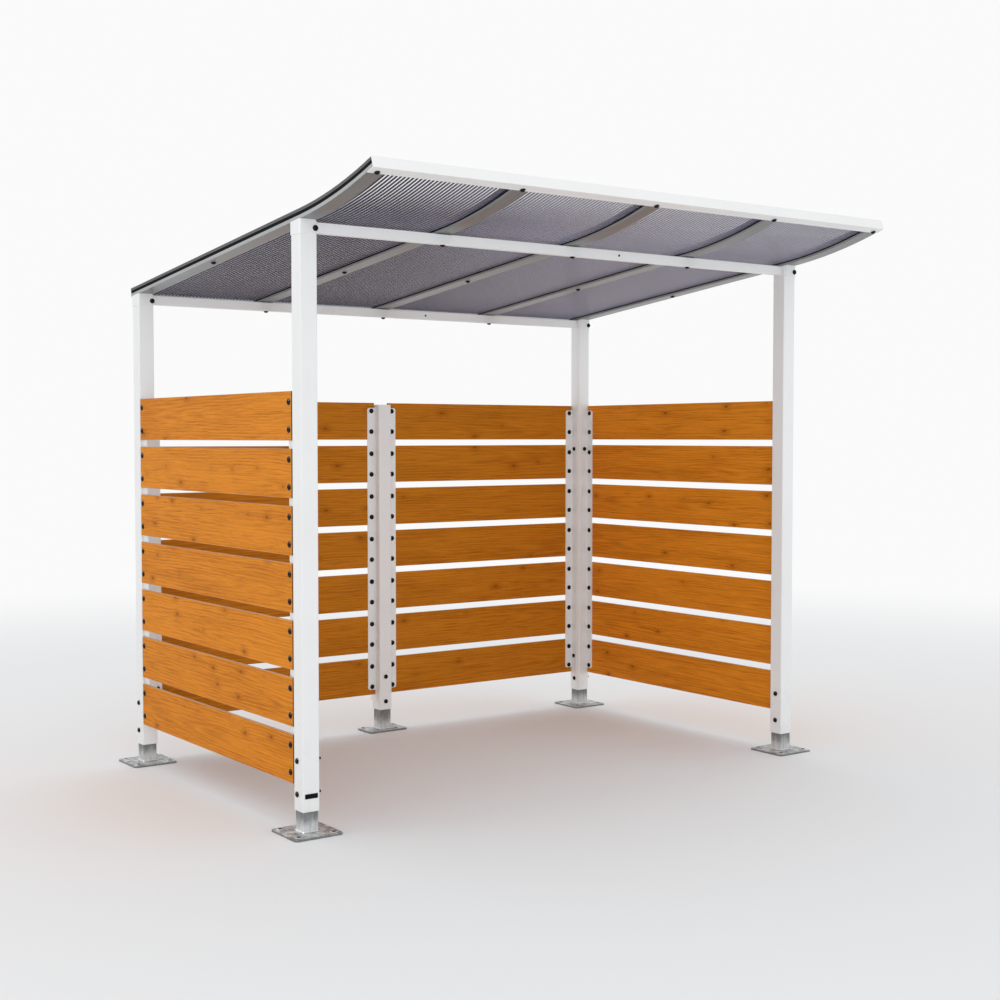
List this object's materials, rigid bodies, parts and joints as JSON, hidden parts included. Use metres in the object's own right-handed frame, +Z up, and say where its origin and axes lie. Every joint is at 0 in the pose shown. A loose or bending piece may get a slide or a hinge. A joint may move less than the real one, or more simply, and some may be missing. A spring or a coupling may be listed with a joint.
{
  "type": "bike shelter",
  "caption": "Open-fronted bike shelter: white square posts on bolted feet, wood-look boards on three sides, and a smoked sheet roof on bars that curves up at the front.",
  "frame": {"origin": "on the ground, under the middle of the whole shelter's box", "axes": "+X to the right along the open front, +Y from the open front to the back wall, +Z up"},
  "size_m": [2.7, 2.1502, 2.4051],
  "materials": {
    "white_coat": "semi-gloss white powder coat",
    "galvanised": "hot-dip galvanised, matt and mottled",
    "mill_aluminium": "mill-finish extruded aluminium",
    "smoked_sheet": "smoked multiwall sheet, glossy skins",
    "wood_decor": "orange-brown wood decor, satin",
    "black_rubber": "black, matt",
    "black_fastener": "black, glossy domed bolt heads"
  },
  "bodies": {
    "root": {"back_wall_left_boards": "wood_decor", "back_wall_left_end_bracket": "white_coat", "back_wall_left_middle_bracket": "white_coat", "back_wall_right_boards": "wood_decor", "back_wall_right_end_bracket": "white_coat", "back_wall_right_middle_bracket": "white_coat", "bar_cap_1": "mill_aluminium", "bar_cap_2": "mill_aluminium", "bar_cap_3": "mill_aluminium", "bar_cap_4": "mill_aluminium", "bar_cap_5": "mill_aluminium", "front_beam": "white_coat", "front_channel": "white_coat", "front_left_collar": "white_coat", "front_left_foot": "galvanised", "front_left_post": "white_coat", "front_right_collar": "white_coat", "front_right_foot": "galvanised", "front_right_post": "white_coat", "glazing_bar_1": "mill_aluminium", "glazing_bar_2": "mill_aluminium", "glazing_bar_3": "mill_aluminium", "glazing_bar_4": "mill_aluminium", "glazing_bar_5": "mill_aluminium", "left_wall_boards": "wood_decor", "left_wall_front_bracket": "white_coat", "left_wall_rear_bracket": "white_coat", "middle_foot": "galvanised", "middle_post": "white_coat", "rear_beam": "white_coat", "rear_channel": "white_coat", "rear_left_collar": "white_coat", "rear_left_foot": "galvanised", "rear_left_post": "white_coat", "rear_right_collar": "white_coat", "rear_right_foot": "galvanised", "rear_right_post": "white_coat", "right_wall_boards": "wood_decor", "right_wall_front_bracket": "white_coat", "right_wall_rear_bracket": "white_coat", "roof_edge_spacers": "black_rubber", "roof_sheet_1": "smoked_sheet", "roof_sheet_2": "smoked_sheet", "roof_sheet_3": "smoked_sheet", "roof_sheet_4": "smoked_sheet"}
  },
  "joints": []
}
